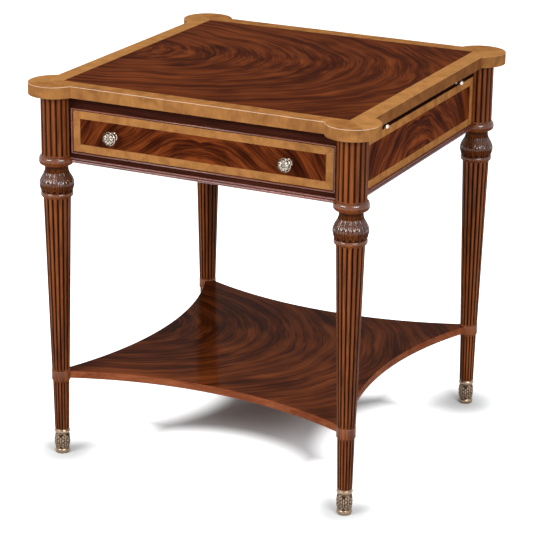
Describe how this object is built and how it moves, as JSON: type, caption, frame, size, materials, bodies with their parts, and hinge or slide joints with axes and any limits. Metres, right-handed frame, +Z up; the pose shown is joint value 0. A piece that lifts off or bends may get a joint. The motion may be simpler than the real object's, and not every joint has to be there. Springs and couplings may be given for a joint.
{
  "type": "side table",
  "caption": "Square wooden side table with a banded top with rounded ears, a drawer, a pull-out slide, reeded legs with brass caps and a low shelf.",
  "frame": {"origin": "on the floor under the middle of the table", "axes": "+Z up, +X to the right side where the slide pulls out, -Y to the front where the drawer pulls out"},
  "size_m": [0.674, 0.674, 0.711],
  "materials": {
    "mahogany": "gloss",
    "core_mahogany": "satin",
    "flame_mahogany": "gloss",
    "satinwood_banding": "gloss",
    "oak": "matt",
    "antique_brass": "aged",
    "steel": "satin"
  },
  "bodies": {
    "case": {"leg_front_left": "mahogany", "leg_front_right": "mahogany", "leg_back_right": "mahogany", "leg_back_left": "mahogany", "front_top_rail": "mahogany", "front_bottom_rail": "mahogany", "back_apron": "mahogany", "left_apron": "mahogany", "right_apron": "mahogany", "front_moulding": "mahogany", "right_moulding": "mahogany", "back_moulding": "mahogany", "left_moulding": "mahogany", "shelf": "mahogany", "top_board": "core_mahogany", "top_field_front": "flame_mahogany", "top_field_back": "flame_mahogany", "left_panel_field": "flame_mahogany", "right_panel_field": "flame_mahogany", "top_band_front": "satinwood_banding", "top_band_right": "satinwood_banding", "top_band_back": "satinwood_banding", "top_band_left": "satinwood_banding", "top_edging": "satinwood_banding", "left_panel_banding": "satinwood_banding", "right_panel_banding": "satinwood_banding", "drawer_runner_left": "oak", "drawer_runner_right": "oak", "drawer_stop_left": "oak", "drawer_stop_right": "oak", "slide_runner_front": "oak", "slide_runner_back": "oak", "slide_kicker_front": "oak", "slide_kicker_back": "oak", "slide_stop_rail": "oak", "foot_cap_front_left": "antique_brass", "foot_cap_front_right": "antique_brass", "foot_cap_back_right": "antique_brass", "foot_cap_back_left": "antique_brass", "top_screw_front_left": "steel", "top_screw_front_right": "steel", "top_screw_back_right": "steel", "top_screw_back_left": "steel"},
    "drawer": {"drawer_front": "mahogany", "drawer_cockbeads": "mahogany", "drawer_field": "flame_mahogany", "drawer_banding": "satinwood_banding", "drawer_side_left": "oak", "drawer_side_right": "oak", "drawer_back": "oak", "drawer_bottom": "oak", "drawer_knob_left": "antique_brass", "drawer_knob_right": "antique_brass", "drawer_knob_screw_left": "steel", "drawer_knob_screw_right": "steel"},
    "slide": {"slide_board": "mahogany", "slide_lipping": "mahogany", "slide_knob_front": "antique_brass", "slide_knob_back": "antique_brass", "slide_stop_block": "oak"}
  },
  "joints": [
    {"name": "drawer_slide", "type": "slide", "parent": "case", "child": "drawer", "axis": [0, -1, 0], "range_m": [0, 0.33]},
    {"name": "brushing_slide", "type": "slide", "parent": "case", "child": "slide", "axis": [1, 0, 0], "range_m": [0, 0.26]}
  ]
}
